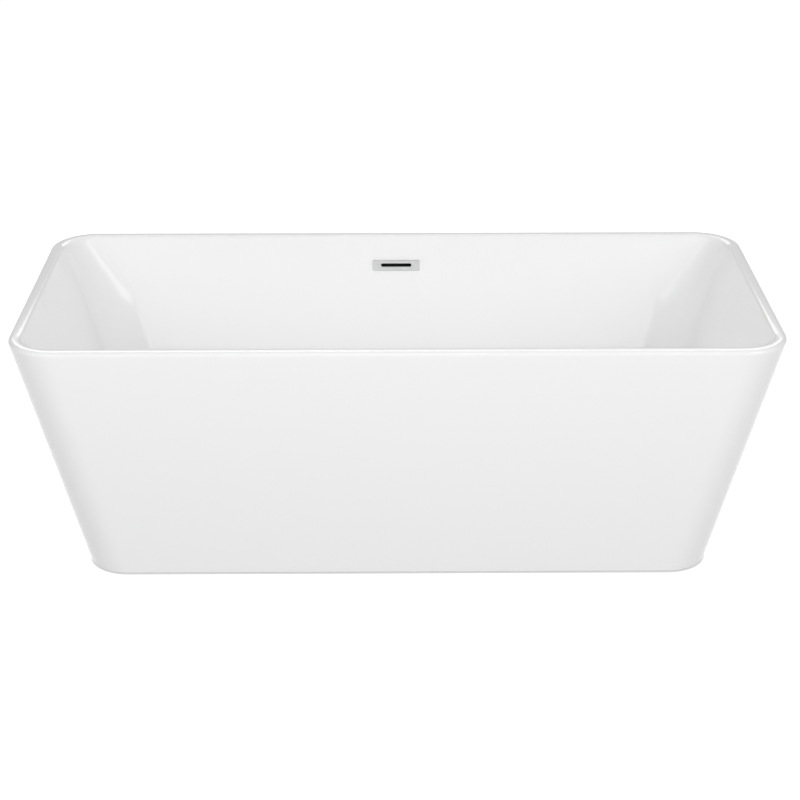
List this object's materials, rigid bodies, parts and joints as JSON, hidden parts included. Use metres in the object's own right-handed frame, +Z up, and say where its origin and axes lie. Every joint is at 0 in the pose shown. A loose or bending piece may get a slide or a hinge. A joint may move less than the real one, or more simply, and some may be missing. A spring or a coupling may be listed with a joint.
{
  "type": "freestanding bathtub",
  "caption": "Freestanding acrylic bathtub with straight tapering sides, a narrow flat rim, plain sloping backrests, a chrome slot overflow and a push plug.",
  "frame": {"origin": "on the floor under the middle of the tub", "axes": "+X along the tub's length, +Y towards the overflow wall, +Z up"},
  "size_m": [1.7, 0.8, 0.58],
  "materials": {
    "acrylic_white": "high gloss sanitary acrylic",
    "chrome": "polished",
    "zinc_steel": "bright zinc plated",
    "rubber_black": "matt",
    "plywood": "sealed plywood",
    "frame_paint": "semi-matt powder coat",
    "pipe_plastic": "moulded polypropylene",
    "duct_plastic": "moulded black polypropylene",
    "hose_plastic": "ribbed flexible hose",
    "foot_nylon": "glass-filled nylon"
  },
  "bodies": {
    "tub": {"basin_shell": "acrylic_white", "outer_apron": "acrylic_white", "overflow_cover": "chrome", "drain_body": "chrome", "plug_cartridge": "chrome", "foot_lock_nut_front_left": "zinc_steel", "foot_lock_nut_front_right": "zinc_steel", "foot_lock_nut_back_left": "zinc_steel", "foot_lock_nut_back_right": "zinc_steel", "foot_lock_nut_mid_left": "zinc_steel", "foot_lock_nut_mid_right": "zinc_steel", "board_screw_front_left": "zinc_steel", "board_screw_front_right": "zinc_steel", "board_screw_back_left": "zinc_steel", "board_screw_back_right": "zinc_steel", "bracket_screw_front_left": "zinc_steel", "bracket_screw_front_right": "zinc_steel", "bracket_screw_back_left": "zinc_steel", "bracket_screw_back_right": "zinc_steel", "hose_clamp_upper": "zinc_steel", "hose_clamp_lower": "zinc_steel", "overflow_screw_left": "zinc_steel", "overflow_screw_right": "zinc_steel", "drain_gasket_upper": "rubber_black", "drain_gasket_lower": "rubber_black", "slip_washer": "rubber_black", "overflow_gasket": "rubber_black", "floor_board": "plywood", "frame_rail_front": "frame_paint", "frame_rail_back": "frame_paint", "frame_cross_left": "frame_paint", "frame_cross_mid_left": "frame_paint", "frame_cross_mid_right": "frame_paint", "frame_cross_right": "frame_paint", "apron_bracket_front_left": "frame_paint", "apron_bracket_front_right": "frame_paint", "apron_bracket_back_left": "frame_paint", "apron_bracket_back_right": "frame_paint", "waste_tee": "pipe_plastic", "tailpiece": "pipe_plastic", "slip_nut": "pipe_plastic", "overflow_insert": "duct_plastic", "overflow_duct": "duct_plastic", "overflow_hose": "hose_plastic"},
    "plug": {"plug_cap": "chrome", "plug_seal": "rubber_black", "plug_stem": "zinc_steel"},
    "pad_front_left": {"foot_pad_front_left": "foot_nylon"},
    "stud_front_left": {"foot_stud_front_left": "zinc_steel"},
    "pad_front_right": {"foot_pad_front_right": "foot_nylon"},
    "stud_front_right": {"foot_stud_front_right": "zinc_steel"},
    "pad_back_left": {"foot_pad_back_left": "foot_nylon"},
    "stud_back_left": {"foot_stud_back_left": "zinc_steel"},
    "pad_back_right": {"foot_pad_back_right": "foot_nylon"},
    "stud_back_right": {"foot_stud_back_right": "zinc_steel"},
    "pad_mid_left": {"foot_pad_mid_left": "foot_nylon"},
    "stud_mid_left": {"foot_stud_mid_left": "zinc_steel"},
    "pad_mid_right": {"foot_pad_mid_right": "foot_nylon"},
    "stud_mid_right": {"foot_stud_mid_right": "zinc_steel"}
  },
  "joints": [
    {"name": "plug_lift", "type": "slide", "parent": "tub", "child": "plug", "axis": [0, 0, 1], "range_m": [0, 0.008]},
    {"name": "level_front_left", "type": "slide", "parent": "tub", "child": "pad_front_left", "axis": [0, 0, -1], "range_m": [0, 0.014]},
    {"name": "turn_front_left", "type": "hinge", "parent": "pad_front_left", "child": "stud_front_left", "pos_m": [-0.48666, -0.18286, 0.05], "axis": [0, 0, -1], "range_deg": [0, 2880]},
    {"name": "level_front_right", "type": "slide", "parent": "tub", "child": "pad_front_right", "axis": [0, 0, -1], "range_m": [0, 0.014]},
    {"name": "turn_front_right", "type": "hinge", "parent": "pad_front_right", "child": "stud_front_right", "pos_m": [0.48666, -0.18286, 0.05], "axis": [0, 0, -1], "range_deg": [0, 2880]},
    {"name": "level_back_left", "type": "slide", "parent": "tub", "child": "pad_back_left", "axis": [0, 0, -1], "range_m": [0, 0.014]},
    {"name": "turn_back_left", "type": "hinge", "parent": "pad_back_left", "child": "stud_back_left", "pos_m": [-0.48666, 0.18286, 0.05], "axis": [0, 0, -1], "range_deg": [0, 2880]},
    {"name": "level_back_right", "type": "slide", "parent": "tub", "child": "pad_back_right", "axis": [0, 0, -1], "range_m": [0, 0.014]},
    {"name": "turn_back_right", "type": "hinge", "parent": "pad_back_right", "child": "stud_back_right", "pos_m": [0.48666, 0.18286, 0.05], "axis": [0, 0, -1], "range_deg": [0, 2880]},
    {"name": "level_mid_left", "type": "slide", "parent": "tub", "child": "pad_mid_left", "axis": [0, 0, -1], "range_m": [0, 0.014]},
    {"name": "turn_mid_left", "type": "hinge", "parent": "pad_mid_left", "child": "stud_mid_left", "pos_m": [-0.2, 0, 0.05], "axis": [0, 0, -1], "range_deg": [0, 2880]},
    {"name": "level_mid_right", "type": "slide", "parent": "tub", "child": "pad_mid_right", "axis": [0, 0, -1], "range_m": [0, 0.014]},
    {"name": "turn_mid_right", "type": "hinge", "parent": "pad_mid_right", "child": "stud_mid_right", "pos_m": [0.2, 0, 0.05], "axis": [0, 0, -1], "range_deg": [0, 2880]}
  ],
  "couplings": [
    {"joint": "turn_front_left", "follows": "level_front_left", "rad_per_m": 3590.4},
    {"joint": "turn_front_right", "follows": "level_front_right", "rad_per_m": 3590.4},
    {"joint": "turn_back_left", "follows": "level_back_left", "rad_per_m": 3590.4},
    {"joint": "turn_back_right", "follows": "level_back_right", "rad_per_m": 3590.4},
    {"joint": "turn_mid_left", "follows": "level_mid_left", "rad_per_m": 3590.4},
    {"joint": "turn_mid_right", "follows": "level_mid_right", "rad_per_m": 3590.4}
  ]
}
